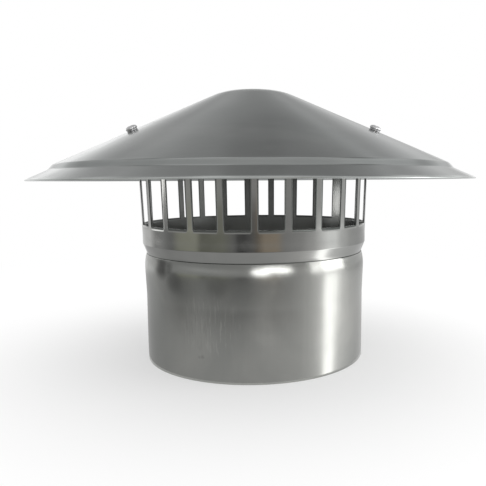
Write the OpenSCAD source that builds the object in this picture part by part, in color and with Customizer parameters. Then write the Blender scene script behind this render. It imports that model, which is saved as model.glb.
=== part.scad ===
// Fixed chimney cowl: a sheet metal cone over a slotted cage that plugs into a short round pipe.
// Millimetres, +Z up, origin at the centre of the pipe's bottom edge.

/* [Sheet] */
// Thickness of the sheet that the cap, the cage and the pipe are made of
sheet_t = 0.6; // [0.4:0.1:1.2]

/* [Lower pipe] */
// Outer diameter of the pipe
pipe_d = 200; // [150:1:250]
// Height of the pipe from its bottom edge to its lip
pipe_h = 95.5; // [85:0.5:140]
// Height of the drawn-in shoulder below the lip
shoulder_h = 12; // [8:0.5:16]
// Height over which the wall swells out below the shoulder
swell_h = 25; // [10:1:40]
// How far the wall stands proud at the shoulder's crease
swell = 0.95; // [0.5:0.05:2]
// How far the lip is drawn in from the straight wall
lip_in = 0.75; // [0.5:0.05:2]
// Radius of the rounded crease at the shoulder
shoulder_r = 14; // [4:1:20]

/* [Slotted cage] */
// Length of the neck hidden inside the pipe
neck_h = 27; // [10:1:30]
// Radial gap between the neck and the pipe's lip
neck_gap = 0.15; // [0.1:0.05:0.4]
// Height of the chamfer from the lip up to the band
chamfer_h = 9.4; // [5:0.2:14]
// How far the band's bottom crease stands out from the pipe's straight wall
crease_out = 2.6; // [1.5:0.1:5]
// Radius of the rounded crease at the band's bottom
crease_r = 4; // [1:0.5:6]
// How far the band stands out from the pipe's straight wall
band_out = 2.2; // [1:0.1:5]
// Height of the plain band below the slots
band_h = 17; // [12:0.5:30]
// Lean of the fingers outwards from the vertical, in degrees
finger_lean = 1.9; // [0:0.1:4]
// Number of slots
slot_count = 24; // [12:1:30]
// Width of a finger between two slots
finger_w = 6.5; // [4:0.5:10]
// Height of the slots
slot_h = 64; // [40:1:70]
// Direction of the lapped seam, in degrees from the front
seam_az = 121.4; // [0:0.1:360]
// Width of the wide finger that the lapped seam makes
seam_w = 21.6; // [12:0.2:40]
// Width of the lapped outer ply
lap_w = 14; // [8:0.5:18]

/* [Cap] */
// Diameter of the cap over its rim
cap_d = 390; // [340:1:440]
// Height of the rim above the pipe's lip
rim_z = 65.5; // [45.5:0.5:85.5]
// Slope of the cone in degrees
cone_slope = 24.47; // [20:0.1:28]
// Distance of the step's foot from the rim, measured across
brim_w = 17.5; // [12:0.5:26]
// Height of the step's foot above the rim
brim_rise = 8; // [6:0.5:12]
// Width of the pressed step
step_w = 4; // [3:0.5:8]
// Height of the pressed step
step_rise = 4.4; // [3:0.2:7]
// Radius of the rounded edges of the step
step_r = 5; // [1.5:0.1:7]
// Radius of the circle where the crown meets the cone
crown_edge_r = 33; // [20:1:40]
// Radius of curvature of the crown
crown_r = 159; // [120:1:400]
// Radius of the bend between the crown and the cone
crown_bend_r = 55; // [20:1:60]
// Width of the edge folded back under the rim
hem_w = 6; // [4:0.5:9]

/* [Brackets] */
// Thickness of the brackets
bracket_t = 1; // [0.8:0.1:1.6]
// Width of the brackets
bracket_w = 16; // [14:0.5:22]
// Height of the bracket leg on the cage's top ring
leg_h = 14; // [11:0.5:15]
// Inner radius of the bracket's bend
bracket_bend_r = 1.2; // [0.6:0.1:2]
// Gap between pieces that lie against each other
seat_gap = 0.15; // [0.1:0.05:0.3]
// Distance from the pipe's straight wall out to the screws
screw_out = 14.6; // [13.5:0.1:18]
// Distance from a screw's centre to the end of its bracket
bracket_end = 7; // [6:0.5:10]

/* [Fasteners] */
// Diameter of the cap screws
screw_d = 5; // [4:0.5:5]
// Length of the cap screws under the head
screw_l = 12; // [12:1:16]
// Diameter of the pan heads
head_d = 9.5; // [8:0.5:10]
// Height of the pan heads
head_h = 3; // [2:0.1:4]
// Height of the upright edge of the pan heads
head_edge_h = 1.1; // [0.4:0.1:1.5]
// Length of the cross recess in the pan heads
recess_l = 5.2; // [3:0.1:6]
// Width of the cross recess's arms
recess_w = 1.1; // [0.6:0.1:1.6]
// Depth of the cross recess
recess_h = 1.5; // [0.8:0.1:1.8]
// Diameter of the holes for the screws
hole_d = 5.6; // [5.2:0.1:6]
// Outer diameter of the spring washers
spring_washer_d = 8.6; // [7.5:0.1:9]
// Thickness of the spring washers
spring_washer_t = 1.2; // [0.8:0.1:1.6]
// Width of the cut in the spring washers
spring_washer_cut = 0.8; // [0.5:0.1:1.5]
// Outer diameter of the flat washers
flat_washer_d = 10; // [9:0.5:11]
// Diameter of the hole in the flat washers
flat_washer_hole = 5.3; // [5.2:0.1:6]
// Thickness of the flat washers
flat_washer_t = 1; // [0.5:0.1:1.2]
// Width of the nuts across their flats
nut_af = 8; // [7:0.5:9]
// Height of the nuts
nut_h = 4; // [3:0.1:5]
// Diameter of the nuts' free face inside the chamfer on their corners
nut_face_d = 8.3; // [7:0.1:9]
// Diameter of the rivets' shanks
rivet_d = 3.2; // [2.4:0.2:4]
// Diameter of the rivets' heads
rivet_head_d = 6.4; // [5:0.2:7]
// Height of the rivets' heads
rivet_head_h = 1; // [0.8:0.1:1.4]
// Diameter of the set ends inside the cage
rivet_tail_d = 4.8; // [4.5:0.1:6]
// Diameter of the flat tip of the set ends
rivet_tip_d = 3; // [2:0.1:4]
// Length of the set ends inside the cage
rivet_tail_h = 2.4; // [1.5:0.1:3]
// Distance between the two rivets of a bracket
rivet_pitch = 8; // [7.5:0.5:10]

/* [Hidden] */

$fn = 180;
hole_fn = 48;
// Clearance round shanks, and under flat faces that lie on curved ones
slip = 0.05;
// Overlap of a cutting solid past the face that it cuts
over = 1;
// Steps in one rounded corner
arc_steps = 6;
// Supports that carry the cap: each is a bracket with its rivets, screw, washers and nut
support_count = 3;

pipe_r = pipe_d / 2;
band_z0 = pipe_h + chamfer_h - neck_gap;
band_z1 = band_z0 + band_h;
slot_z1 = band_z1 + slot_h;
lean_z0 = band_z0 + band_h / 2;
lean = tan(finger_lean);
cage_r0 = pipe_r + band_out;

cap_r = cap_d / 2;
rim_level = pipe_h + rim_z;
cone_t = tan(cone_slope);
foot = [cap_r - brim_w, rim_level + brim_rise];
knee = [foot.x - step_w, foot.y + step_rise];
// Height of the cone's outer face at a radius
function cone_z(r) = knee.y + (knee.x - r) * cone_t;
// Height of the cone's inner face at a radius
function under_z(r) = cone_z(r) - sheet_t / cos(cone_slope);
// Upright drop from the cone's inner face to a face that lies a gap under it
function drop(gap) = gap / cos(cone_slope);

// The bracket's flange lies between the cone and the cage's top edge
ring_gap = seat_gap + bracket_t + seat_gap;
// Height at which the leaning wall meets the bracket's underside
cage_top = (under_z(cage_r0 - lean * lean_z0) - drop(ring_gap)) / (1 + lean * cone_t);
function cage_r(z) = cage_r0 + max(0, z - lean_z0) * lean;

screw_r = pipe_r + screw_out;
bracket_end_r = screw_r + bracket_end * cos(cone_slope);
seam_deg = 360 * seam_w / (2 * PI * cage_r(slot_z1));
// Pitch of the slots in the part of the circle that the wide finger leaves
finger_deg = 360 * finger_w / (2 * PI * cage_r(band_z1));
slot_pitch = (360 - seam_deg + finger_deg) / slot_count;
slot_deg = slot_pitch - finger_deg;

// Directions of the three supports, in degrees from the front: evenly spaced, with the seam midway between two
right_az = seam_az - 180 / support_count;
left_az = right_az - 360 / support_count;
rear_az = right_az + 360 / support_count;

// Unit normal to the left of the step from a to b
function left_of(a, b) = [a.y - b.y, b.x - a.x] / norm(b - a);

// Outline moved sideways by d, with mitred corners
function shifted(pts, d) = [
  for (i = [0 : len(pts) - 1])
    let (
      n1 = left_of(pts[max(i - 1, 0)], pts[max(i, 1)]),
      n2 = left_of(pts[min(i, len(pts) - 2)], pts[min(i + 1, len(pts) - 1)])
    )
    pts[i] + (n1 + n2) * d / (1 + n1 * n2)
];

// Points of an arc of radius r that rounds the corner b between a and c
function rounded(a, b, c, r) =
  let (
    u = (a - b) / norm(a - b),
    v = (c - b) / norm(c - b),
    half = acos(u * v) / 2,
    centre = b + (u + v) / norm(u + v) * r / sin(half),
    side = (u.x * v.y - u.y * v.x) > 0 ? 1 : -1,
    p = b + u * r / tan(half) - centre,
    sweep = side * (180 - 2 * half)
  )
  [
    for (k = [0 : arc_steps])
      let (w = -sweep * k / arc_steps)
      centre + [p.x * cos(w) - p.y * sin(w), p.x * sin(w) + p.y * cos(w)]
  ];

// Band of thickness t on the left of an outline, kept off the far side of the axis
module band_2d(pts, t) {
  back = [for (p = shifted(pts, t)) [max(0, p.x), p.y]];
  polygon(concat(pts, [for (i = [len(pts) - 1 : -1 : 0]) back[i]]));
}

// Places children with +X pointing out at a direction given in degrees from the front, turning to the right
module facing(az) {
  rotate([0, 0, az - 90]) children();
}

// Wedge of a given angle about the direction of +X
module wedge(deg, z0, z1) {
  reach = cap_d;
  translate([0, 0, z0])
    linear_extrude(height = z1 - z0)
      polygon([[0, 0], [reach * cos(deg / 2), -reach * sin(deg / 2)], [reach * cos(deg / 2), reach * sin(deg / 2)]]);
}

// Places children on the cone's outer face at a screw, with +Z along the screw's axis
module at_screw(az) {
  facing(az)
    translate([screw_r, 0, cone_z(screw_r)])
      rotate([0, cone_slope, 0])
        children();
}

// Places children at the two rivets of a bracket, with +X along the rivet's axis out of the cage's wall
module at_rivets(az) {
  z = cage_top - leg_h / 2;
  r = cage_r(z);
  for (side = [-1, 1])
    facing(az + side * asin(rivet_pitch / 2 / r))
      translate([r, 0, z])
        rotate([0, finger_lean, 0])
          children();
}

module cap_shell() {
  crown_edge = [crown_edge_r, cone_z(crown_edge_r)];
  crown_drop = function(r) crown_r - sqrt(crown_r * crown_r - r * r);
  apex_z = crown_edge.y + crown_drop(crown_edge_r);
  crown_slope = asin(crown_edge_r / crown_r);
  // Length of the bend's arc on either side of its corner
  bend_reach = crown_bend_r * tan((cone_slope - crown_slope) / 2);
  crown_end = crown_edge_r - bend_reach * cos(crown_slope);
  crown = [for (k = [0 : arc_steps - 1]) let (r = crown_end * k / arc_steps) [r, apex_z - crown_drop(r)]];
  outer = concat(
    crown,
    rounded([0, crown_edge.y + crown_edge_r * tan(crown_slope)], crown_edge, knee, crown_bend_r),
    rounded(crown_edge, knee, foot, step_r),
    rounded(knee, foot, [cap_r, rim_level], step_r),
    [[cap_r, rim_level]]
  );
  brim_slope = atan(brim_rise / brim_w);
  color("#8d918f")
    difference() {
      union() {
        rotate_extrude() band_2d(outer, -sheet_t);
        // Edge folded back flat under the brim
        rotate_extrude()
          translate([cap_r, rim_level])
            rotate(-brim_slope)
              translate([-hem_w, -2 * sheet_t])
                square([hem_w, 2 * sheet_t]);
      }
      for (az = [left_az, right_az, rear_az])
        at_screw(az)
          cylinder(d = hole_d, h = 8 * sheet_t, center = true, $fn = hole_fn);
    }
}

module slotted_cage() {
  neck_r = pipe_r - lip_in - sheet_t - neck_gap;
  lip_z = pipe_h - neck_gap;
  neck_z0 = lip_z - neck_h;
  crease = [pipe_r + crease_out, band_z0];
  top = [cage_r(cage_top), cage_top];
  outer = concat(
    [[neck_r, neck_z0]],
    [[neck_r, lip_z]],
    rounded([neck_r, lip_z], crease, [cage_r0, lean_z0], crease_r),
    [[cage_r0, lean_z0], top]
  );
  first_slot = seam_az + seam_deg / 2 + slot_deg / 2;
  color("#7e7e7a")
    difference() {
      union() {
        rotate_extrude() band_2d(outer, sheet_t);
        // Outer ply of the lapped seam
        intersection() {
          rotate_extrude() band_2d(shifted([[cage_r0, lean_z0], top], slip - sheet_t), sheet_t);
          facing(seam_az) wedge(360 * lap_w / (2 * PI * cage_r0), lean_z0 - over, cage_top + over);
        }
      }
      for (i = [0 : slot_count - 1])
        facing(first_slot + i * slot_pitch) wedge(slot_deg, band_z1, slot_z1);
      for (az = [left_az, right_az, rear_az])
        at_rivets(az)
          rotate([0, 90, 0])
            cylinder(d = rivet_d + 2 * slip, h = 8 * sheet_t, center = true, $fn = hole_fn);
    }
}

module lower_pipe() {
  crease = [pipe_r + swell, pipe_h - shoulder_h];
  swell_start = [pipe_r, pipe_h - shoulder_h - swell_h];
  lip = [pipe_r - lip_in, pipe_h];
  outer = concat([[pipe_r, 0], swell_start], rounded(swell_start, crease, lip, shoulder_r), [lip]);
  color("#84847f")
    rotate_extrude() band_2d(outer, sheet_t);
}

// Angle bracket curved to lie on the cage's top ring and under the cone
module bracket(az) {
  wall = cage_r(cage_top);
  leg_low = [cage_r(cage_top - leg_h) + slip, cage_top - leg_h];
  // Inner face of the leg carried up to the flange's upper face
  corner_r = wall + slip;
  corner = [corner_r, under_z(corner_r) - drop(seat_gap)];
  flange_end = [bracket_end_r, under_z(bracket_end_r) - drop(seat_gap)];
  path = concat([leg_low], rounded(leg_low, corner, flange_end, bracket_t + bracket_bend_r), [flange_end]);
  half_deg = asin(bracket_w / 2 / wall);
  color("#9a9c9b")
    difference() {
      intersection() {
        rotate_extrude() band_2d(path, -bracket_t);
        facing(az)
          translate([wall / 2, -bracket_w / 2, leg_low.y - over])
            cube([cap_r - wall / 2, bracket_w, corner.y - leg_low.y + 2 * over]);
      }
      at_screw(az)
        cylinder(d = hole_d, h = 8 * bracket_t, center = true, $fn = hole_fn);
      at_rivets(az)
        rotate([0, 90, 0])
          cylinder(d = rivet_d + 2 * slip, h = 8 * bracket_t, center = true, $fn = hole_fn);
    }
}

// Two blind rivets: a domed head on the bracket, the shank, and the set end inside the cage
module rivets(az) {
  head_x = slip + bracket_t + slip;
  tail_x = -sheet_t - slip;
  color("#a9abaa")
    at_rivets(az)
      rotate([0, 90, 0])
        rotate_extrude($fn = hole_fn)
          polygon(concat(
            [[0, tail_x - rivet_tail_h], [rivet_tip_d / 2, tail_x - rivet_tail_h]],
            [[rivet_tail_d / 2, tail_x - rivet_tail_h / 2], [rivet_tail_d / 2, tail_x], [rivet_d / 2, tail_x]],
            [[rivet_d / 2, head_x], [rivet_head_d / 2, head_x]],
            [for (k = [1 : arc_steps])
              let (w = 90 * k / arc_steps)
              [rivet_head_d / 2 * cos(w), head_x + rivet_head_h * sin(w)]]
          ));
}

// Pan head screw with a cross recess, along +Z from its end up to the head
module cap_screw(az) {
  seat = slip + spring_washer_t + slip;
  color("#8f9192")
    at_screw(az)
      difference() {
        union() {
          translate([0, 0, seat - screw_l]) cylinder(d = screw_d, h = screw_l + over, $fn = hole_fn);
          rotate_extrude($fn = hole_fn)
            polygon(concat(
              [[0, seat], [head_d / 2, seat]],
              [for (k = [0 : arc_steps])
                let (w = 90 * k / arc_steps)
                [head_d / 2 * cos(w), seat + head_edge_h + (head_h - head_edge_h) * sin(w)]]
            ));
        }
        for (turn = [0, 90])
          rotate([0, 0, turn])
            translate([-recess_l / 2, -recess_w / 2, seat + head_h - recess_h])
              cube([recess_l, recess_w, recess_h + over]);
      }
}

// Split spring washer between the screw's head and the cone
module spring_washer(az) {
  color("#7b7d7e")
    at_screw(az)
      translate([0, 0, slip])
        difference() {
          cylinder(d = spring_washer_d, h = spring_washer_t, $fn = hole_fn);
          translate([0, 0, -over])
            cylinder(d = screw_d + 2 * slip, h = spring_washer_t + 2 * over, $fn = hole_fn);
          rotate([0, 0, 45])
            translate([0, -spring_washer_cut / 2, -over])
              cube([spring_washer_d, spring_washer_cut, spring_washer_t + 2 * over]);
        }
}

// Depth of the bracket's underside below the cone's outer face
bracket_under = sheet_t + seat_gap + bracket_t;

module flat_washer(az) {
  color("#a3a5a6")
    at_screw(az)
      translate([0, 0, -bracket_under - slip - flat_washer_t])
        difference() {
          cylinder(d = flat_washer_d, h = flat_washer_t, $fn = hole_fn);
          translate([0, 0, -over])
            cylinder(d = flat_washer_hole, h = flat_washer_t + 2 * over, $fn = hole_fn);
        }
}

// Hexagon nut with a flat towards the cage
module cap_nut(az) {
  color("#989a9b")
    at_screw(az)
      translate([0, 0, -bracket_under - 2 * slip - flat_washer_t - nut_h])
        difference() {
          intersection() {
            rotate([0, 0, 30]) cylinder(d = nut_af / cos(30), h = nut_h, $fn = 6);
            // Chamfer on the corners of the free face
            cylinder(d1 = nut_face_d, d2 = nut_face_d + 2 * nut_h, h = nut_h, $fn = hole_fn);
          }
          translate([0, 0, -over])
            cylinder(d = screw_d + slip, h = nut_h + 2 * over, $fn = hole_fn);
        }
}

cap_shell();
slotted_cage();
lower_pipe();
bracket(left_az);  // cap_bracket_left
bracket(right_az);  // cap_bracket_right
bracket(rear_az);  // cap_bracket_rear
rivets(left_az);  // bracket_rivets_left
rivets(right_az);  // bracket_rivets_right
rivets(rear_az);  // bracket_rivets_rear
cap_screw(left_az);  // cap_screw_left
cap_screw(right_az);  // cap_screw_right
cap_screw(rear_az);  // cap_screw_rear
spring_washer(left_az);  // spring_washer_left
spring_washer(right_az);  // spring_washer_right
spring_washer(rear_az);  // spring_washer_rear
flat_washer(left_az);  // flat_washer_left
flat_washer(right_az);  // flat_washer_right
flat_washer(rear_az);  // flat_washer_rear
cap_nut(left_az);  // cap_nut_left
cap_nut(right_az);  // cap_nut_right
cap_nut(rear_az);  // cap_nut_rear
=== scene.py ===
"""Finish of a sheet metal chimney cowl: its stepped cap, slotted cage, lower pipe and fasteners."""

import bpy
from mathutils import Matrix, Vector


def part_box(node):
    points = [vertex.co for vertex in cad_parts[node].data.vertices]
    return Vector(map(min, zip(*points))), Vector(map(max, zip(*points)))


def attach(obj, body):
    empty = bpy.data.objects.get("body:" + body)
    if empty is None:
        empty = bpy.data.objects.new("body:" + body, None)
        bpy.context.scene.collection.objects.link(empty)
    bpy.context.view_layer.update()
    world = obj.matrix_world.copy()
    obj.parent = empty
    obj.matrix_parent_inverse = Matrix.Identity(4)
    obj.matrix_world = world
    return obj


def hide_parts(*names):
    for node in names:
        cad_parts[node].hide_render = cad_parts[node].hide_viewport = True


bl_info = {
    "name": "Chimney Cowl",
    "version": (1, 0, 0),
    "blender": (4, 5, 0),
    "location": "View3D > Sidebar > Cowl",
    "description": "Builds the rolled and pressed sheet, the fasteners and the studio of a chimney cowl",
    "category": "Object",
}

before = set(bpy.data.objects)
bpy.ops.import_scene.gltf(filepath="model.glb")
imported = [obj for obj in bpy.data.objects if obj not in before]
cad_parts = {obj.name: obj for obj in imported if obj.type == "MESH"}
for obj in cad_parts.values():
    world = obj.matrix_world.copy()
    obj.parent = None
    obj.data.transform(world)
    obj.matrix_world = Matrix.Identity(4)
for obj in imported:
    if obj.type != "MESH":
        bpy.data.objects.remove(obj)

import math

import bmesh
import bpy
import numpy as np
from bpy.props import FloatProperty, FloatVectorProperty, IntProperty, PointerProperty
from mathutils import Matrix, Quaternion, Vector

BODY = "root"
SIDES = ("left", "right", "rear")
TURN = 2 * math.pi
UV_NAME = "sheet"
# Mark of edge wear, and on the cap of a painted highlight on the fold and the step's edges
WEAR_AND_HIGHLIGHT = "wear"
# Mark of the cage's inner face: painted shade there, a darker bluish colour, and a rougher finish
INSIDE_SHADE = "inside"
# A new piece may differ from the solid that it stands for by this much, in metres
FIT = 0.0006
# Step of the map in metres where no material reads it
MAP_STEP = 0.0003


def length(name, description, default):
    """A length in metres for a property group."""
    return FloatProperty(name=name, description=description, default=default, unit="LENGTH", precision=5)


def angle(name, description, degrees):
    """An angle for a property group, given in degrees and kept in radians."""
    return FloatProperty(name=name, description=description, default=math.radians(degrees), unit="ROTATION")


def colour(name, description, default):
    """A linear colour for a property group."""
    return FloatVectorProperty(
        name=name, description=description, default=default, subtype="COLOR", min=0, max=1
    )


class CowlSheet(bpy.types.PropertyGroup):
    """Sheet that the cap, the cage and the pipe are made of."""

    thickness: length("Thickness", "Thickness of the sheet", 0.0006)
    edge_round: length("Edge rounding", "Radius on the cut edges", 0.00014)
    cap_wave: length("Cap unevenness", "Height of the waves that pressing leaves in the cap", 0.00022)
    wall_wave: length("Wall unevenness", "Height of the waves that rolling leaves in the walls", 0.00012)


class CowlCap(bpy.types.PropertyGroup):
    """Spun cap with its crown, cone, step, brim and hem."""

    cone_slope: angle("Cone slope", "Slope of the cone", 24.47)
    brim_w: length("Brim width", "Distance of the step's foot from the rim, measured across", 0.0175)
    brim_rise: length("Brim rise", "Height of the step's foot above the rim", 0.008)
    step_w: length("Step width", "Width of the pressed step", 0.004)
    step_rise: length("Step rise", "Height of the pressed step", 0.0044)
    step_round: length("Step rounding", "Radius of the step's rounded edges", 0.005)
    crown_edge: length("Crown edge", "Radius of the circle where the crown meets the cone", 0.033)
    crown_round: length("Crown radius", "Radius of curvature of the crown", 0.159)
    crown_bend: length("Crown bend", "Radius of the bend between the crown and the cone", 0.055)
    hem_w: length("Hem width", "Width of the edge folded back under the rim", 0.006)


class CowlCage(bpy.types.PropertyGroup):
    """Rolled strip with the neck, the chamfer, the band, the fingers and the top ring."""

    neck_h: length("Neck", "Length of the neck inside the pipe", 0.027)
    neck_gap: length("Neck gap", "Gap between the neck and the pipe's lip", 0.00015)
    chamfer_h: length("Chamfer", "Height of the chamfer from the lip up to the band", 0.0094)
    crease_out: length("Crease", "How far the band's crease stands out from the pipe", 0.0022)
    crease_round: length("Crease rounding", "Radius of the crease", 0.0015)
    band_out: length("Band", "How far the band stands out from the pipe", 0.0022)
    band_h: length("Band height", "Height of the plain band below the slots", 0.017)
    finger_lean: angle("Finger lean", "Lean of the fingers outwards", 1.9)
    slots: IntProperty(name="Slots", description="Number of slots", default=24, min=12, max=30)
    finger_w: length("Finger width", "Width of a finger between two slots", 0.0065)
    slot_h: length("Slot height", "Height of the slots", 0.064)
    seam_az: angle("Seam direction", "Direction of the lapped seam from the front", 121.4)
    seam_w: length("Seam width", "Width of the wide finger at the seam", 0.0216)
    lap_w: length("Lap width", "Width of the outer ply of the seam", 0.014)
    finger_bow: length("Finger bow", "How far a finger may stand in or out at its middle", 0.00025)
    weld_pitch: length("Weld pitch", "Distance between the spot welds of the seam", 0.012)
    weld_r: length("Weld radius", "Radius of a spot weld's dimple", 0.0017)
    weld_in: length("Weld depth", "Depth of a spot weld's dimple", 0.0002)


class CowlPipe(bpy.types.PropertyGroup):
    """Lower pipe with its swell, shoulder and lip."""

    radius: length("Radius", "Outer radius of the straight wall", 0.1)
    height: length("Height", "Height up to the lip", 0.0955)
    shoulder_h: length("Shoulder", "Height of the drawn-in shoulder", 0.012)
    swell_h: length("Swell height", "Height over which the wall swells out", 0.025)
    swell: length("Swell", "How far the wall stands proud at the shoulder", 0.00095)
    lip_in: length("Lip", "How far the lip is drawn in", 0.00075)
    crease_h: length("Crease height", "Height below the crease over which the swell rounds off", 0.004)
    shoulder_bow: FloatProperty(
        name="Shoulder bow", description="Power of the shoulder's curve, 1 for a straight one",
        default=2.0, min=1, max=4,
    )
    weld_az: angle("Weld direction", "Direction of the welded seam from the front", 158)
    weld_w: length("Weld width", "Width of the rolled weld", 0.0016)
    weld_out: length("Weld height", "How far the rolled weld stands out", 0.00018)


class CowlFasteners(bpy.types.PropertyGroup):
    """Screws, washers and nuts."""

    thread_pitch: length("Thread pitch", "Pitch of the screws' thread", 0.0008)
    thread_depth: length("Thread depth", "Depth of the screws' thread", 0.00045)
    nut_thread: length("Nut thread", "Depth of the nuts' thread", 0.00012)
    recess_r: length("Recess reach", "Radius that the cross recess reaches", 0.0026)
    recess_w: length("Recess width", "Width of the cross recess's arms", 0.0011)
    recess_depth: length("Recess depth", "Depth of the cross recess", 0.0015)
    split: length("Washer split", "Width of the cut in the spring washers", 0.0008)


class CowlColours(bpy.types.PropertyGroup):
    """Linear colours of the metals and the studio."""

    cap: colour("Cap sheet", "Bright rolled sheet of the cap", (0.40, 0.415, 0.408))
    cage: colour("Cage sheet", "Bright rolled sheet of the cage", (0.39, 0.39, 0.375))
    pipe: colour("Pipe sheet", "Bright rolled sheet of the pipe", (0.41, 0.412, 0.392))
    bracket: colour("Bracket sheet", "Plated sheet of the brackets", (0.44, 0.45, 0.45))
    rivet: colour("Rivet alloy", "Aluminium of the rivets", (0.60, 0.61, 0.61))
    screw: colour("Screw steel", "Bright steel of the screws", (0.86, 0.86, 0.87))
    spring: colour("Spring steel", "Steel of the spring washers", (0.62, 0.62, 0.63))
    washer: colour("Washer steel", "Plated steel of the flat washers", (0.50, 0.50, 0.50))
    nut: colour("Nut steel", "Plated steel of the nuts", (0.45, 0.45, 0.46))
    floor: colour("Floor", "Pale studio floor", (0.93, 0.93, 0.93))


def settings(*names):
    """The scene's property groups of these short names."""
    return [getattr(bpy.context.scene, "cowl_" + name) for name in names]


def smooth(x, low, high):
    """Smooth step: 0 below low, 1 above high, and 3t^2 - 2t^3 between them."""
    t = np.clip((np.asarray(x, float) - low) / (high - low), 0, 1)
    return t * t * (3 - 2 * t)


def bell(x, width):
    """Bell curve exp(-(x / width)^2)."""
    return np.exp(-((x / width) ** 2))


def outward(az):
    """Unit vector in plan at a direction az from the front: (sin az, -cos az)."""
    return np.array([math.sin(az), -math.cos(az)])


def plan_angle(az):
    """Angle of the frame's plan for a direction from the front: the front is -Y, and az grows towards +X."""
    return az - math.pi / 2


def even_angles(count, start=0.0):
    """Angles that share a full turn evenly, from a start on."""
    return start + TURN * np.arange(count) / count


def polar(t, r, z):
    """Points (r cos t, r sin t, z)."""
    return np.stack(np.broadcast_arrays(r * np.cos(t), r * np.sin(t), z), -1)


def shifted(path, distance):
    """A path moved to its left with mitred corners: each point moves by (n1 + n2) d / (1 + n1.n2)."""
    step = np.diff(path, axis=0)
    n = np.stack([-step[:, 1], step[:, 0]], 1) / np.hypot(step[:, 0], step[:, 1])[:, None]
    before = np.concatenate([n[:1], n])
    after = np.concatenate([n, n[-1:]])
    return path + (before + after) * distance / (1 + (before * after).sum(1))[:, None]


def rounded(a, b, c, radius, steps=8):
    """Arc that rounds the corner b. Its centre lies on the bisector, radius / sin(half angle) from b."""
    a, b, c = (np.asarray(p, float) for p in (a, b, c))
    u, v = (a - b) / np.linalg.norm(a - b), (c - b) / np.linalg.norm(c - b)
    half = math.acos(float(np.clip(u @ v, -1, 1))) / 2
    middle = (u + v) / np.linalg.norm(u + v)
    centre = b + middle * radius / math.sin(half)
    start = b + u * radius / math.tan(half) - centre
    side = 1 if u[0] * v[1] - u[1] * v[0] > 0 else -1
    w = -side * (math.pi - 2 * half) * np.linspace(0, 1, steps + 1)
    turned = [start[0] * np.cos(w) - start[1] * np.sin(w), start[0] * np.sin(w) + start[1] * np.cos(w)]
    return centre + np.stack(turned, 1)


def refined(path, spacing):
    """The path with each segment cut into equal steps no longer than spacing."""
    path = np.asarray(path, float)
    pieces = []
    for a, b in zip(path[:-1], path[1:]):
        count = max(1, math.ceil(math.dist(a, b) / spacing))
        pieces.append(a + (b - a) * np.linspace(0, 1, count, endpoint=False)[:, None])
    return np.concatenate(pieces + [path[-1:]])


def run_length(path):
    """Length along a path up to each of its points."""
    return np.concatenate([[0], np.cumsum(np.hypot(*np.diff(path, axis=0).T))])


def sheet_loop(path, thickness, edge):
    """Closed outline of a sheet: the path, its copy moved by the thickness, and both cut edges rounded."""
    back = shifted(path, thickness)
    ends = [
        rounded(path[-2], path[-1], back[-1], edge, 2),
        rounded(path[-1], back[-1], back[-2], edge, 2),
        back[-2:0:-1],
        rounded(back[1], back[0], path[0], edge, 2),
        rounded(back[0], path[0], path[1], edge, 2),
    ]
    return np.concatenate([path[1:-1], *ends])


def grid_skin(points, u=None, v=None, wrap_rows=True, wrap_cols=False):
    """Skin over a grid of points: the points, the quads between them, and the map (u of row, v of column).

    Where a side wraps round, its list runs one step past the grid. Without lists the map goes by even steps.
    The quads face outwards: their signed volume, the sum of a.(b x c) over their halves, is positive.
    """
    rows, cols = points.shape[:2]
    if u is None:
        u, v = np.arange(rows + 1) * MAP_STEP, np.arange(cols + 1) * MAP_STEP
    i, j = np.meshgrid(np.arange(rows - 1 + wrap_rows), np.arange(cols - 1 + wrap_cols), indexing="ij")
    i = np.stack([i, i + 1, i + 1, i], -1).reshape(-1, 4)
    j = np.stack([j, j, j + 1, j + 1], -1).reshape(-1, 4)
    points, quads, uv = points.reshape(-1, 3), i % rows * cols + j % cols, np.stack([u[i], v[j]], -1)
    a, b, c, d = (points[quads[:, k]] for k in range(4))
    if (np.cross(a, b) * c).sum() + (np.cross(a, c) * d).sum() <= 0:
        quads, uv = quads[:, ::-1], uv[:, ::-1]
    return points, quads, uv


def revolved(loop, angles, closed=True, shape=None):
    """Outline carried round the Z axis: a point at (r, z) of the outline for every angle t.

    shape(t, r, z) may return changed r and z. The map is in metres: round the mean radius, along the outline.
    """
    t, r, z = angles[:, None], loop[None, :, 0], loop[None, :, 1]
    if shape:
        r, z = shape(t, r, z)
    around = np.append(angles, angles[0] + TURN) * loop[:, 0].mean()
    return grid_skin(polar(t, r, z), around, run_length(np.concatenate([loop, loop[:1]])), True, closed)


def joined(skins):
    """Several skins as one."""
    points, quads, uv = zip(*skins)
    starts = np.cumsum([0] + [len(p) for p in points])
    return np.concatenate(points), np.concatenate([q + s for q, s in zip(quads, starts)]), np.concatenate(uv)


def placed(name, data):
    """A new object of this data in the scene."""
    piece = bpy.data.objects.new(name, data)
    bpy.context.scene.collection.objects.link(piece)
    return piece


def meshed(name, skin, material):
    """Mesh of a skin with its map and its material."""
    points, quads, uv = skin
    mesh = bpy.data.meshes.new(name)
    mesh.from_pydata(points, [], quads)
    mesh.uv_layers.new(name=UV_NAME).data.foreach_set("uv", np.ascontiguousarray(uv, np.float32).ravel())
    mesh.materials.append(material)
    return mesh


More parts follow.
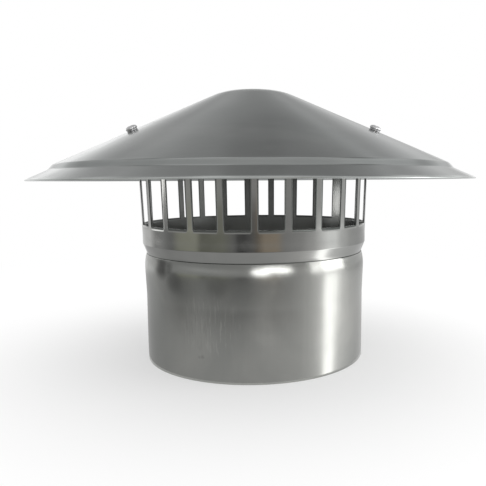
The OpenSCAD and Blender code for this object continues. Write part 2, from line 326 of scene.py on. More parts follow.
def make_piece(name, skin, material, slot, node, merge=False, **marks):
    """Makes a piece of a skin, writes its marks to its points, and puts it in its solid's place."""
    mesh = meshed(name, skin, material)
    for mark, values in marks.items():
        layer = mesh.attributes.new(mark, "FLOAT", "POINT")
        layer.data.foreach_set("value", np.ascontiguousarray(values, np.float32))
    if merge:
        bm = bmesh.new()
        bm.from_mesh(mesh)
        bmesh.ops.remove_doubles(bm, verts=bm.verts, dist=1e-7)
        bm.to_mesh(mesh)
        bm.free()
    mesh.polygons.foreach_set("use_smooth", np.ones(len(mesh.polygons), bool))
    mesh.update()
    if mesh.validate():
        raise RuntimeError(f"{name} came out with faces that are no faces")
    piece = placed(name, mesh)
    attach(piece, BODY)
    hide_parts(node)
    low, high = np.array(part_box(node))
    off = max(np.abs(skin[0].min(0) - low).max(), np.abs(skin[0].max(0) - high).max())
    if off > FIT:
        raise RuntimeError(f"{name} is {off * 1000:.2f} mm off its solid {node}")
    return piece


def even_waves(seed, count, turns, lengths):
    """Sum of slow waves over angle t and length s, each cos(m t + a) cos(k s + b), scaled to within 1."""
    rng = np.random.default_rng(seed)
    m = rng.integers(turns[0], turns[1] + 1, count)
    k = TURN / rng.uniform(lengths[0], lengths[1], count)
    a, b = rng.uniform(0, TURN, (2, count))
    share = rng.uniform(0.5, 1, count)
    share /= share.sum()

    def wave(t, s):
        return sum(w * np.cos(i * t + c) * np.cos(j * s + d) for w, i, j, c, d in zip(share, m, k, a, b))

    return wave


class Tree:
    """Short way to add nodes: settings by name, and sockets by name or place with values or links."""

    def __init__(self, tree):
        self.nodes, self.links = tree.nodes, tree.links
        self.nodes.clear()

    def add(self, kind, **values):
        node = self.nodes.new("ShaderNode" + kind)
        for key, value in values.items():
            if key in node.bl_rna.properties and key not in node.inputs:
                setattr(node, key, value)
                continue
            socket = node.inputs[int(key[1:]) if key[0] == "_" else key.replace("_", " ")]
            if isinstance(value, bpy.types.NodeSocket):
                self.links.new(value, socket)
            else:
                socket.default_value = value
        return node

    def math(self, operation, a, b=0.0, c=0.0, clamp=False):
        return self.add("Math", operation=operation, use_clamp=clamp, _0=a, _1=b, _2=c).outputs[0]

    def times(self, a, b):
        return self.math("MULTIPLY", a, b)

    def plus(self, share, weight, base):
        return self.math("MULTIPLY_ADD", share, weight, base)

    def ramp(self, value, low, high, to_low=0.0, to_high=1.0):
        return self.add(
            "MapRange", interpolation_type="SMOOTHSTEP", Value=value,
            From_Min=low, From_Max=high, To_Min=to_low, To_Max=to_high,
        ).outputs[0]

    def noise(self, vector, scale, detail=3.0, distortion=0.0):
        return self.add(
            "TexNoise", Vector=vector, Scale=scale, Detail=detail, Distortion=distortion
        ).outputs["Fac"]

    def mix(self, fac, a, b):
        return self.add("Mix", data_type="RGBA", _0=fac, _6=a, _7=b).outputs[2]

    def metal(self, base, level, height, strength, distance, **more):
        """Metal of this colour and roughness, with a fine relief in its gloss."""
        bump = self.add("Bump", Strength=strength, Distance=distance, Height=height).outputs[0]
        shader = self.add(
            "BsdfPrincipled", Metallic=1.0, Base_Color=base, Roughness=level, Normal=bump, **more
        )
        self.add("OutputMaterial", Surface=shader.outputs[0])


def tinted(tone, gain, shift=(0, 0, 0)):
    """A colour times a gain, with a small shift of each part, as four numbers."""
    return (*(min(1.0, max(0.0, c * gain + s)) for c, s in zip(tone, shift)), 1.0)


def blank_material(name):
    """A material without nodes, and its tree."""
    material = bpy.data.materials.new(name)
    material.use_nodes = True
    return material, Tree(material.node_tree)


def rolled_sheet(name, tone, rough, smear, clouds, grain, stain, upright=False, dark_spots=(), rub=None):
    """Bright rolled sheet: slow clouds of tone, mill grain, dull handling marks, bright worn edges, painted
    highlights, painted shade on the inner face and darker spots.

    Colour = tone x clouds x patches x grain, lighter at worn edges and at the cap's painted highlights, darker
    and bluish on the inner face as painted shade, darker at the spots, two of which paint a dark reflection on
    the pipe's shoulder, and streaked where it is rubbed. Roughness = rough + clouds + inner face + marks +
    grain
    - wear and highlight. Bump = grain and pits. An upright sheet has its grain along the axis.
    """
    material, tree = blank_material(name)
    place = tree.add("TexCoord").outputs["Object"]
    flat = tree.add("UVMap", uv_map=UV_NAME).outputs["UV"]

    def marked(attribute):
        return tree.add("Attribute", attribute_name=attribute).outputs["Fac"]

    def stretched(along, across, detail):
        scale = (across, along, 1.0) if upright else (along, across, 1.0)
        return tree.noise(tree.add("Mapping", Vector=flat, Scale=scale).outputs[0], 1.0, detail)

    def near(az, z, start, end, strength=1.0):
        spot = (*(outward(math.radians(az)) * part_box("lower_pipe")[1][0]), z)
        away = tree.add("VectorMath", operation="DISTANCE", _0=place, _1=spot).outputs["Value"]
        return tree.ramp(away, start, end, strength, 0.0)

    cloud = tree.ramp(tree.noise(place, clouds, 3.0, 0.6), 0.3, 0.7)
    patch = tree.noise(place, clouds * 3.7, 5.0, 1.1)
    grained = stretched(9.0, 1500.0, 3.0)
    hair = tree.ramp(stretched(26.0, 5200.0, 2.0), 0.62, 0.74)
    mark = tree.ramp(tree.noise(place, clouds * 2.1, 6.0, 1.8), 0.54, 0.70)
    wear_highlight_share = tree.times(marked(WEAR_AND_HIGHLIGHT), tree.ramp(tree.noise(place, 45.0, 2.0), 0.30, 0.70, 0.6, 1.0))
    inside = marked(INSIDE_SHADE)
    layers = [
        (tree.times(tree.ramp(patch, 0.45, 0.75), 0.30 * stain), 0.84, (0.006, 0.004, -0.006)),
        (tree.times(tree.ramp(grained, 0.35, 0.65), 0.16 * grain), 0.80),
        (tree.times(hair, 0.22 * grain), 1.35),
        # Lighter where worn, and on the cap a painted highlight on the fold and the step's edges
        (tree.times(wear_highlight_share, 0.55), 2.1),
        # Painted shade: the inner face is darker and bluish
        (tree.times(inside, 0.3), 0.42, (-0.012, 0.0, 0.010)),
    ]
    if rub:
        az, z, reach = rub
        strokes = stretched(60.0, 480.0, 3.0)
        area = near(az, z, 0.4 * reach, reach)
        layers.append((tree.times(area, tree.ramp(strokes, 0.54, 0.68)), 1.10))
        layers.append((tree.times(area, tree.ramp(strokes, 0.46, 0.34)), 0.92))
    # Darker spots; the two on the pipe's shoulder at the left are a painted dark reflection
    if dark_spots:
        spot_darkening = 0.0
        for az, z, reach, strength in dark_spots:
            spot_darkening = tree.math("MAXIMUM", spot_darkening, near(az, z, 0.15 * reach, reach, strength))
        layers.append((tree.times(spot_darkening, tree.ramp(patch, 0.25, 0.55, 0.75, 1.0)), 0.16))
    base = tree.mix(cloud, tinted(tone, 0.88, (-0.004, 0.002, 0.004)), tinted(tone, 1.08))
    for share, gain, *shift in layers:
        base = tree.mix(share, base, tinted(tone, gain, *shift))
    level = tree.plus(cloud, 0.05, rough - 0.025)
    for share, weight in ((inside, 0.18), (mark, 0.09 * stain), (grained, 0.05 * grain), (wear_highlight_share, -0.03)):
        level = tree.plus(share, weight, level)
    height = tree.plus(tree.noise(place, 420.0, 2.0), 0.35, tree.times(grained, grain))
    tangent = tree.add("Tangent", direction_type="UV_MAP", uv_map=UV_NAME).outputs[0]
    along = {"Tangent": tangent, "Anisotropic": smear, "Anisotropic_Rotation": 0.25}
    tree.metal(base, level, height, 0.12, 0.00002, **along)
    return material


def small_metal(name, tone, rough, speck):
    """Metal of a small part: fine specks of plating under a dull film, in object space.

    Colour = tone x specks, with a grey film in places. Roughness = rough + film + specks. Bump = specks.
    """
    material, tree = blank_material(name)
    place = tree.add("TexCoord").outputs["Object"]
    fine = tree.noise(place, speck, 4.0)
    film = tree.ramp(tree.noise(place, speck * 0.23, 3.0, 0.8), 0.42, 0.68)
    base = tree.mix(tree.ramp(fine, 0.32, 0.68), tinted(tone, 0.82), tinted(tone, 1.16))
    base = tree.mix(tree.times(film, 0.45), base, tinted(tone, 0.70, (0.004, 0.002, -0.004)))
    tree.metal(base, tree.plus(fine, 0.06, tree.plus(film, 0.14, rough)), fine, 0.25, 0.00003)
    return material


def node_points(node):
    """All vertices of a solid of the frame as an array."""
    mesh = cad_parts[node].data
    co = np.zeros(len(mesh.vertices) * 3, np.float32)
    mesh.vertices.foreach_get("co", co)
    return np.unique(co.reshape(-1, 3).astype(float).round(7), axis=0)


def screw_axis(side):
    """Point on a screw's axis at its flat washer's middle, and unit vectors across, along the rim and up it.

    The washer's points spread least along its axis, so that axis is the last principal direction.
    """
    points = node_points("flat_washer_" + side)
    centre = points.mean(0)
    up = np.linalg.svd(points - centre)[2][2]
    up = up * np.sign(up[2])
    across = np.array([centre[0], centre[1], 0])
    across -= up * (across @ up)
    across /= np.linalg.norm(across)
    return centre, np.stack([across, np.cross(up, across), up])


def radii(local):
    """Radius and height of points about an axis."""
    return np.hypot(local[:, 0], local[:, 1]), local[:, 2]


def fasten(name, solid, side, material, slot, shape):
    """Makes one fastener. Its shape turns the solid's points about the screw's axis into a skin there."""
    centre, axes = screw_axis(side)
    node = f"{solid}_{side}"
    points, quads, uv = shape((node_points(node) - centre) @ axes.T)
    skin = (points @ axes + centre, quads, uv)
    make_piece(f"{name}_{side}", skin, material, slot, node, merge=True)


def cap_outline():
    """Outline of the cap as radius and height, and its wear and painted highlight: outer face, fold at the
    rim, hem and inner face.

    The crown is an arc of its own radius. The bend that joins it to the cone starts its radius x tan(half the
    change of slope) before their corner. The wear and highlight mark is strongest on the fold and lightly
    follows the step's edges: edge wear, and a painted highlight along these bends.
    """
    sheet, cap = settings("sheet", "cap")
    low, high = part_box("cap_shell")
    t = sheet.thickness
    brim_fall = math.atan2(cap.brim_rise, cap.brim_w)
    down = np.array([math.cos(brim_fall), -math.sin(brim_fall)])
    out = np.array([math.sin(brim_fall), math.cos(brim_fall)])
    tip = np.array([high[0], low[2] + 2 * t * math.cos(brim_fall)])
    foot = tip + [-cap.brim_w, cap.brim_rise]
    knee = foot + [-cap.step_w, cap.step_rise]
    edge = np.array([cap.crown_edge, knee[1] + (knee[0] - cap.crown_edge) * math.tan(cap.cone_slope)])
    crown_slope = math.asin(cap.crown_edge / cap.crown_round)
    bend_reach = cap.crown_bend * math.tan((cap.cone_slope - crown_slope) / 2)
    r = np.linspace(0, cap.crown_edge - bend_reach * math.cos(crown_slope), 16, endpoint=False)
    centre_z = edge[1] - cap.crown_round * math.cos(crown_slope)
    above = np.array([0, edge[1] + cap.crown_edge * math.tan(crown_slope)])
    face = refined(np.concatenate([
        np.stack([r, centre_z + np.sqrt(cap.crown_round**2 - r**2)], 1),
        rounded(above, edge, knee, cap.crown_bend, 12),
        rounded(edge, knee, foot, cap.step_round, 8),
        rounded(knee, foot, tip, cap.step_round, 8),
        [tip - down * t],
    ]), 0.0035)
    inner = shifted(face, -t)
    inner[0, 0] = 0
    w = np.linspace(0, math.pi, 9)[1:-1, None]
    fold = tip - (down + out) * t + t * (np.cos(w) * out + np.sin(w) * down)
    under = tip - down * t - 2 * t * out
    hem = refined([under, under - down * (cap.hem_w - t)], 0.0015)
    # The hem is pressed flat but for a slit of 0.03 mm
    hem_top = hem[::-1] + out * (t - 0.00003)
    loop = np.concatenate([face, fold, hem, hem_top, inner[::-1]])
    # Painted highlight with edge wear: a lighter colour at the fold, the knee and the foot
    spots = ((tip, 1.7, 0.0018), (knee, 0.28, 0.0022), (foot, 0.12, 0.0020))
    return loop, sum(most * bell(np.hypot(*(loop - corner).T), reach) for corner, most, reach in spots)


class COWL_OT_cap(bpy.types.Operator):
    """Builds the cap: its outline carried round the axis, with waves that fade at the crown and screws."""

    bl_idname = "cowl.cap"
    bl_label = "Rain cap"

    def execute(self, context):
        sheet, tones = settings("sheet", "colours")
        loop, wear = cap_outline()
        rim_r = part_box("cap_shell")[1][0]
        wave = even_waves(7, 9, (2, 9), (0.05, 0.16))
        screws = [screw_axis(side)[0][:2] for side in SIDES]

        def shape(t, r, z):
            calm = 1.0
            for x, y in screws:
                calm = calm * (1 - bell(np.hypot(r * np.cos(t) - x, r * np.sin(t) - y), 0.016))
            share = smooth(r, 0.03, 0.09) * (1 - 0.75 * smooth(r, rim_r - 0.012, rim_r))
            lift = sheet.cap_wave * wave(t, r) * share * calm
            return r - np.abs(lift) * smooth(r, rim_r - 0.02, rim_r) * 0.5, z + lift

        angles = even_angles(480, math.pi / 2)
        skin = revolved(loop, angles, False, shape)
        material = rolled_sheet("cap_rolled_sheet", tones.cap, 0.14, 0.1, clouds=9.0, grain=0.5, stain=0.3)
        wear = np.tile(wear, len(angles))
        make_piece("rain_cap", skin, material, "cap_sheet", "cap_shell", merge=True, **{WEAR_AND_HIGHLIGHT: wear})
        return {"FINISHED"}


def cage_path():
    """Outer face of the cage as radius and height: neck, chamfer, rounded crease, band and leaning wall.

    It comes with the heights of the slots' two ends and of the band's middle, where the lean starts.
    """
    sheet, cage, pipe = settings("sheet", "cage", "pipe")
    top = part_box("slotted_cage")[1][2]
    lip_z = pipe.height - cage.neck_gap
    band_z0 = lip_z + cage.chamfer_h
    lean_z0 = band_z0 + cage.band_h / 2
    slot_z0 = band_z0 + cage.band_h
    slot_z1 = slot_z0 + cage.slot_h
    wall_r = pipe.radius + cage.band_out
    neck_r = pipe.radius - pipe.lip_in - sheet.thickness - cage.neck_gap
    crease = [pipe.radius + cage.crease_out, band_z0]
    bend = rounded([neck_r, lip_z], crease, [wall_r, lean_z0], cage.crease_round, 8)
    lean = math.tan(cage.finger_lean)
    wall = [[wall_r + (z - lean_z0) * lean, z] for z in (lean_z0, slot_z0, slot_z1, top)]
    corners = np.concatenate([[[neck_r, lip_z - cage.neck_h], [neck_r, lip_z]], bend, wall])
    return refined(corners, 0.004), slot_z0, slot_z1, lean_z0


def cage_angles(path, slot_z0, slot_z1):
    """Angles of the cage's columns, and for each column the number of its finger, or -1 in a slot.

    The wide finger at the seam takes its width out of the circle, and the slots share what is left evenly.
    """
    (cage,) = settings("cage")
    seam = cage.seam_w / np.interp(slot_z1, path[:, 1], path[:, 0])
    finger = cage.finger_w / np.interp(slot_z0, path[:, 1], path[:, 0])
    pitch = (TURN - seam + finger) / cage.slots
    slot = pitch - finger
    columns, finger_no = [], []
    for i in range(cage.slots):
        start = plan_angle(cage.seam_az) + seam / 2 + i * pitch
        width, steps = (seam, 14) if i == cage.slots - 1 else (finger, 5)
        for a, w, count, number in ((start, slot, 9, -1), (start + slot, width, steps, i)):
            columns.append(np.linspace(a, a + w, count, endpoint=False))
            finger_no += [number] * count
    return np.concatenate(columns), np.array(finger_no)


def walled(outer, inner, keep, u, v, deep):
    """Sheet between two grids, kept where keep is true, with walls round every hole and end.

    A wall stands on each side of a kept cell whose neighbour isn't kept. Rows wrap round, columns don't. The
    skin comes with the numbers that its points have in the two grids.
    """
    rows, cols = outer.shape[:2]
    base = rows * cols

    def corners(i, j, steps):
        a, b = np.stack([i + s[0] for s in steps], 1), np.stack([j + s[1] for s in steps], 1)
        return a % rows * cols + b, np.stack([u[a], v[b]], -1)

    quad, place = corners(*np.nonzero(keep), ((0, 0), (1, 0), (1, 1), (0, 1)))
    faces, maps = [quad, quad[:, ::-1] + base], [place, place[:, ::-1]]
    padded = np.pad(keep, ((0, 0), (1, 1)))
    for way, ends in (
        ((-1, 0), ((0, 1), (0, 0))), ((1, 0), ((1, 0), (1, 1))),
        ((0, -1), ((0, 0), (1, 0))), ((0, 1), ((1, 1), (0, 1))),
    ):
        beside = np.roll(padded, (-way[0], -way[1]), (0, 1))[:, 1:-1]
        side, place = corners(*np.nonzero(keep & ~beside), ends)
        faces.append(np.concatenate([side, side[:, ::-1] + base], 1)[:, ::-1])
        maps.append(np.concatenate([place, place[:, ::-1] + deep], 1)[:, ::-1])
    used, faces = np.unique(np.concatenate(faces), return_inverse=True)
    points = np.concatenate([outer.reshape(-1, 3), inner.reshape(-1, 3)])
    return (points[used], faces.reshape(-1, 4), np.concatenate(maps)), used


def outer_ply(path, low):
    """Skin and wear of the seam's outer ply: a flat closed tube laid on the wall, with a row of weld dimples.

    At a distance d a dimple is depth x (exp(-(d / r)^4) - 0.3 exp(-((d - 1.5 r) / 0.4 r)^2)) deep, so its edge
    is raised.
    """
    sheet, cage = settings("sheet", "cage")
    t, edge, half, pitch = sheet.thickness, sheet.edge_round, cage.lap_w / 2, cage.weld_pitch
    top_r, top = path[-1]
    count, rows, clear = 32, 176, 0.00002
    z = np.concatenate([[low], np.linspace(low, top, rows), [top]])
    across = np.linspace(-half, half, count)
    # One turn round the section, as distance across the seam and height above the wall
    a = np.concatenate([across, [half + edge] * 2, across[::-1], [-half - edge] * 2])
    d = np.concatenate([np.full(count, t), [t - edge, edge], np.zeros(count), [edge, t - edge]]) + clear
    outer_face = (np.arange(len(a)) < count)[:, None]
    nearest = (z - low - pitch / 2) / pitch
    off_z = (nearest - np.clip(np.round(nearest), 0, (top - low) // pitch - 1)) * pitch
    away = np.hypot(a[:, None], off_z)
    dimple = np.exp(-((away / cage.weld_r) ** 4)) - 0.3 * bell(away - 1.5 * cage.weld_r, 0.4 * cage.weld_r)
    depth = d[:, None] - cage.weld_in * dimple * outer_face
    # The first and last rows close the ends at the middle of the sheet
    depth[:, [0, -1]] = t / 2
    r = np.interp(z, path[:, 1], path[:, 0]) + depth
    section = np.stack([a, d], 1)
    around = run_length(np.concatenate([section, section[:1]]))
    skin = grid_skin(polar(plan_angle(cage.seam_az) + a[:, None] / top_r, r, z), around, z)
    edge_wear = 0.6 * smooth(np.abs(a), half - 0.0012, half)[:, None]
    return skin, np.maximum(edge_wear, 0.5 * bell(away - cage.weld_r, 0.0006) * outer_face).ravel()


def soften(piece, width, limit):
    """Rounds a piece's edges with a bevel of two segments where faces meet at more than limit degrees."""
    bevel = piece.modifiers.new("soft_edges", "BEVEL")
    bevel.width = width
    bevel.segments = 2
    bevel.limit_method = "ANGLE"
    bevel.angle_limit = math.radians(limit)
    bevel.miter_outer = "MITER_ARC"


class COWL_OT_cage(bpy.types.Operator):
    """Builds the cage: a strip's grid without the slots' cells, walled at its edges, and the outer ply."""

    bl_idname = "cowl.cage"
    bl_label = "Slotted cage"

    def execute(self, context):
        sheet, cage, tones = settings("sheet", "cage", "colours")
        path, slot_z0, slot_z1, lean_z0 = cage_path()
        angles, finger_no = cage_angles(path, slot_z0, slot_z1)
        wave = even_waves(19, 7, (2, 11), (0.05, 0.14))
        bow = np.random.default_rng(5).uniform(-1, 1, cage.slots) * cage.finger_bow
        bow[-1] = 0
        bow = np.where(finger_no >= 0, bow[finger_no], 0.0)[:, None]

        def uneven(line):
            t, r, z = angles[:, None], line[None, :, 0], line[None, :, 1]
            free = smooth(z, lean_z0 - 0.01, lean_z0 + 0.02) * (1 - smooth(z, slot_z1 - 0.01, slot_z1))
            between = np.clip((z - slot_z0) / (slot_z1 - slot_z0), 0, 1)
            r = r + sheet.wall_wave * wave(t, z) * free + bow * np.sin(math.pi * between) ** 2
            return polar(t, r, z)

        middle = (path[:-1, 1] + path[1:, 1]) / 2
        in_height = (middle > slot_z0) & (middle < slot_z1)
        keep = ~((finger_no < 0)[:, None] & in_height)
        inner = shifted(path, sheet.thickness)
        around = np.append(angles, angles[0] + TURN) * path[:, 0].mean()
        strip, used = walled(uneven(path), uneven(inner), keep, around, run_length(path), sheet.thickness)
        column, row = used // len(path) % len(angles), used % len(path)
        z = path[row, 1]
        # On the cage this mark is edge wear only: at the slots' lower ends and at the top edge
        wear = 0.2 * np.maximum(bell(z - slot_z0, 0.0015), bell(z - path[-1, 1], 0.001))
        # Painted shade darkens the inner face, which is also rougher; on the seam's wide finger above the
        # slots both are weaker
        seam_finger_less_shade = (finger_no[column] == cage.slots - 1) & (z > slot_z0)
        inside = np.where(used >= len(angles) * len(path), np.where(seam_finger_less_shade, 0.4, 1.0), 0.0)
        ply, ply_wear = outer_ply(path, lean_z0)
        marks = {WEAR_AND_HIGHLIGHT: np.append(wear, ply_wear), INSIDE_SHADE: np.pad(inside, (0, len(ply_wear)))}
        material = rolled_sheet("cage_rolled_sheet", tones.cage, 0.10, 0.4, clouds=13.0, grain=0.5, stain=0.4)
        skin = joined([strip, ply])
        piece = make_piece("cage_strip", skin, material, "cage_sheet", "slotted_cage", **marks)
        soften(piece, 0.00009, 50)
        return {"FINISHED"}


# Darker spots painted on the pipe, of which the two on the shoulder at the left paint a dark reflection:
# direction from the front in degrees, height and reach in metres, and strength
PIPE_DARK_SPOTS = (
    (-50.0, 0.0885, 0.0130, 0.85), (-44.5, 0.0890, 0.0080, 0.50), (-41.0, 0.0780, 0.0130, 0.34),
    (-17.5, 0.0770, 0.0120, 0.24), (-25.1, 0.0205, 0.0026, 0.26), (-26.8, 0.0200, 0.0022, 0.22),
    (47.0, 0.0925, 0.0060, 0.35),
)
# Rubbed patch on the pipe: direction from the front in degrees, height and reach in metres
PIPE_RUB = (-22.0, 0.047, 0.034)


def pipe_path(pipe):
    """Outer face of the pipe as radius and height: straight wall, swell up to the crease, and shoulder.

    Swell: radius + slope x s - slope x d^2 / 2h, with d the distance past the point h below the crease.
    Shoulder: from the crease to the lip the radius falls by drop x s^power, where s runs from 0 to 1.
    """
    crease_z = pipe.height - pipe.shoulder_h
    start_z = crease_z - pipe.swell_h
    slope = pipe.swell / pipe.swell_h
    z = np.linspace(start_z, crease_z, 12)
    over = np.maximum(0, z - (crease_z - pipe.crease_h))
    swell = pipe.radius + (z - start_z) * slope - slope * over**2 / (2 * pipe.crease_h)
    s = np.linspace(0, 1, 15)[1:]
    drop = swell[-1] - (pipe.radius - pipe.lip_in)
    shoulder = np.stack([swell[-1] - drop * s**pipe.shoulder_bow, crease_z + s * pipe.shoulder_h], 1)
    return refined(np.concatenate([[[pipe.radius, 0]], np.stack([swell, z], 1), shoulder]), 0.0035)


class COWL_OT_pipe(bpy.types.Operator):
    """Builds the pipe: its outline carried round the axis, with slow waves and a weld up its back.

    The weld is a low ridge, weld_out x exp(-(distance / width)^2), rippled along its height and ground away
    towards the lip.
    """

    bl_idname = "cowl.pipe"
    bl_label = "Lower pipe"

    def execute(self, context):
        sheet, pipe, tones = settings("sheet", "pipe", "colours")
        loop = sheet_loop(pipe_path(pipe), sheet.thickness, sheet.edge_round)
        wave = even_waves(31, 8, (2, 9), (0.06, 0.2))
        weld = plan_angle(pipe.weld_az)
        wall_middle = pipe.radius - pipe.lip_in - sheet.thickness / 2
        ripple = 0.0022

        def shape(t, r, z):
            off = (t - weld + math.pi) % TURN - math.pi
            seam = bell(off * pipe.radius * 1.6, pipe.weld_w) * (0.75 + 0.25 * np.cos(z / ripple * TURN))
            free = 1 - 0.8 * smooth(z, pipe.height - 0.008, pipe.height)
            # The inner face shows less of the weld
            rise = pipe.weld_out * seam * np.where(r > wall_middle, 1.0, 0.45) * free
            return r + sheet.wall_wave * wave(t, z) * free + rise, z

        # Extra columns on both sides of the weld
        back, reach = math.pi / 2, 2.5 * pipe.weld_w / pipe.radius
        fine = back + (np.linspace(weld - reach, weld + reach, 25) - back) % TURN
        angles = np.unique(np.concatenate([even_angles(420, back), fine]).round(6))
        material = rolled_sheet(
            "pipe_rolled_sheet", tones.pipe, 0.17, 0.45, clouds=12.0, grain=0.8, stain=0.35, upright=True,
            dark_spots=PIPE_DARK_SPOTS, rub=PIPE_RUB,
        )
        skin = revolved(loop, angles, shape=shape)
        make_piece("collar_pipe", skin, material, "pipe_sheet", "lower_pipe")
        return {"FINISHED"}


def pan_head(head_r, head_h, edge_h):
    """Pan head over a polar grid: an upright edge, then a quarter oval to the top, less the cross recess.

    Recess depth = depth x (1 - smooth step across an arm's width) x (1 - smooth step towards the arm's end).
    """
    (f,) = settings("fasteners")
    cut_from = 7
    # The oval goes by even angles at its edge, and by even radii where the recess is
    w = np.linspace(0, math.pi / 2, 15)[:11]
    oval_r = head_r * np.append(np.cos(w), math.cos(w[-1]) * np.linspace(1, 0, 20)[1:])
    oval_z = edge_h + (head_h - edge_h) * np.sqrt(np.clip(1 - (oval_r / head_r) ** 2, 0, 1))
    r = np.append(head_r * np.array([0.55, 0.97, 1.0]), oval_r)
    z = np.append([0, 0, 0.00012], oval_z)
    x, y, _ = np.moveaxis(polar(even_angles(72)[:, None], r, z), -1, 0)

    def arm(across, along):
        wide = 1 - smooth(np.abs(across), f.recess_w * 0.35, f.recess_w * 0.75)
        return wide * (1 - smooth(np.abs(along), f.recess_r * 0.55, f.recess_r))

    cut = np.maximum(arm(x, y), arm(y, x)) * f.recess_depth * (np.arange(len(r)) >= cut_from)
    return grid_skin(np.stack([x, y, z - cut], -1))


def threaded_shank(major, low, high):
    """Threaded rod: radius = major - depth x (1 - 1.25 |2 p - 1|), where p is the part of a turn at (t, z).

    Its point is chamfered over about one pitch, and closed by a first column on the axis.
    """
    (f,) = settings("fasteners")
    rows_a_turn = 8
    t = even_angles(36)[:, None]
    z = np.linspace(low, high, int((high - low) / f.thread_pitch * rows_a_turn))
    phase = (z / f.thread_pitch - t / TURN) % 1
    r = major - f.thread_depth * (1 - np.clip(np.abs(2 * phase - 1) * 1.25, 0, 1))
    r = np.pad(np.minimum(r, major - f.thread_depth + (z - low) * 0.7), ((0, 0), (1, 0)))
    z = np.append(low, z)
    return grid_skin(polar(t, r, z))


def screw(local):
    """Pan head with a cross recess on a threaded shank, as large as the solid's points say."""
    r, z = radii(local)
    shank_r = np.median(r[z < z.min() + 0.002])
    seat = z[r > shank_r * 1.3].min()
    edge_h = z[r > r.max() * 0.995].max() - seat
    head, quads, uv = pan_head(r.max(), z.max() - seat, edge_h)
    return joined([(head + [0, 0, seat], quads, uv), threaded_shank(shank_r, z.min(), seat + 0.0002)])


def ring_outline(local, edge):
    """Closed outline of a ring as wide and high as the solid's points, with rounded edges."""
    r, z = radii(local)
    corners = np.array([[r.min(), z.min()], [r.max(), z.min()], [r.max(), z.max()], [r.min(), z.max()]])
    return np.concatenate([rounded(corners[k - 1], corners[k], corners[k - 3], edge, 3) for k in range(4)])


def flat_ring(local):
    """Flat washer: its outline carried round the axis."""
    return revolved(ring_outline(local, 0.00012), even_angles(72))


def split_ring(local):
    """Spring washer: a ring cut through, whose end rows shrink onto the section's middle and so close it."""
    (f,) = settings("fasteners")
    loop = ring_outline(local, 0.00016)
    half = math.asin(f.split / 2 / loop[:, 0].max())
    t = math.pi / 4 + np.linspace(half, TURN - half, 72)
    t = np.concatenate([t[:1], t, t[-1:]])
    line = np.repeat(loop[None], len(t), 0)
    line[[0, -1]] = loop.mean(0)
    return grid_skin(polar(t[:, None], line[..., 0], line[..., 1]), wrap_rows=False, wrap_cols=True)


def hexagon_nut(local):
    """Nut: radius = half the flats over cos of the angle off a flat's middle, with a cone at its low face."""
    (f,) = settings("fasteners")
    t = even_angles(96)[:, None]
    r, z = radii(local)
    low, high, bore = z.min(), z.max(), r.min()
    corner = local[np.argmax(r)]
    off = (t - math.atan2(corner[1], corner[0])) % (TURN / 6) - TURN / 12
    steps = (low + np.array([0, 0, 0.0002, 0.0005, 0.001, 0.0018]), high - np.array([0.0009, 0.0004, 0, 0]))
    outer_z = np.concatenate(steps)
    outer_r = np.minimum(r.max() * math.cos(TURN / 12) / np.cos(off), 0.9 * r.max() + 1.7 * (outer_z - low))
    outer_r[:, [0, -1]] = bore + 0.0003
    inner_z = np.linspace(high, low, 12)
    inner_r = bore + f.nut_thread * np.abs((inner_z / f.thread_pitch - t / TURN) % 1 * 2 - 1)
    z = np.append(outer_z, inner_z)
    return grid_skin(polar(t, np.concatenate([outer_r, inner_r], 1), z), wrap_cols=True)


class COWL_OT_screws(bpy.types.Operator):
    """Builds the three cap screws."""

    bl_idname = "cowl.screws"
    bl_label = "Cap screws"

    def execute(self, context):
        (tones,) = settings("colours")
        bright = small_metal("bright_screw_steel", tones.screw, 0.34, 900.0)
        for side in SIDES:
            fasten("screw", "cap_screw", side, bright, "screw_steel", screw)
        return {"FINISHED"}


class COWL_OT_washers(bpy.types.Operator):
    """Builds the flat and the spring washers."""

    bl_idname = "cowl.washers"
    bl_label = "Washers"

    def execute(self, context):
        (tones,) = settings("colours")
        plated = small_metal("plated_washer_steel", tones.washer, 0.24, 1100.0)
        sprung = small_metal("oiled_spring_steel", tones.spring, 0.26, 1300.0)
        for side in SIDES:
            fasten("flat_ring", "flat_washer", side, plated, "washer_steel", flat_ring)
            fasten("split_ring", "spring_washer", side, sprung, "spring_steel", split_ring)
        return {"FINISHED"}


class COWL_OT_nuts(bpy.types.Operator):
    """Builds the three nuts."""

    bl_idname = "cowl.nuts"
    bl_label = "Nuts"

    def execute(self, context):
        (tones,) = settings("colours")
        plated = small_metal("plated_nut_steel", tones.nut, 0.22, 1000.0)
        for side in SIDES:
            fasten("hex_nut", "cap_nut", side, plated, "nut_steel", hexagon_nut)
        return {"FINISHED"}


class COWL_OT_brackets(bpy.types.Operator):
    """Gives the brackets and rivets, which keep their solids' shape, their plated steel and aluminium."""

    bl_idname = "cowl.brackets"
    bl_label = "Brackets and rivets"

    def execute(self, context):
        (tones,) = settings("colours")
        bracket = small_metal("plated_bracket_sheet", tones.bracket, 0.28, 300.0)
        rivet = small_metal("drawn_rivet_alloy", tones.rivet, 0.30, 800.0)
        for side in SIDES:
            for node, material in (("cap_bracket_" + side, bracket), ("bracket_rivets_" + side, rivet)):
                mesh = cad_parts[node].data
                mesh.materials.clear()
                mesh.materials.append(material)
        return {"FINISHED"}


# Place of the camera in front of the cowl
CAMERA_PLACE = (0.0, -0.5257, 0.1581)
GREY = (1.0, 1.0, 1.0)
OLIVE = (1.0, 1.01, 0.83)
WARM = (1.0, 0.83, 0.64)
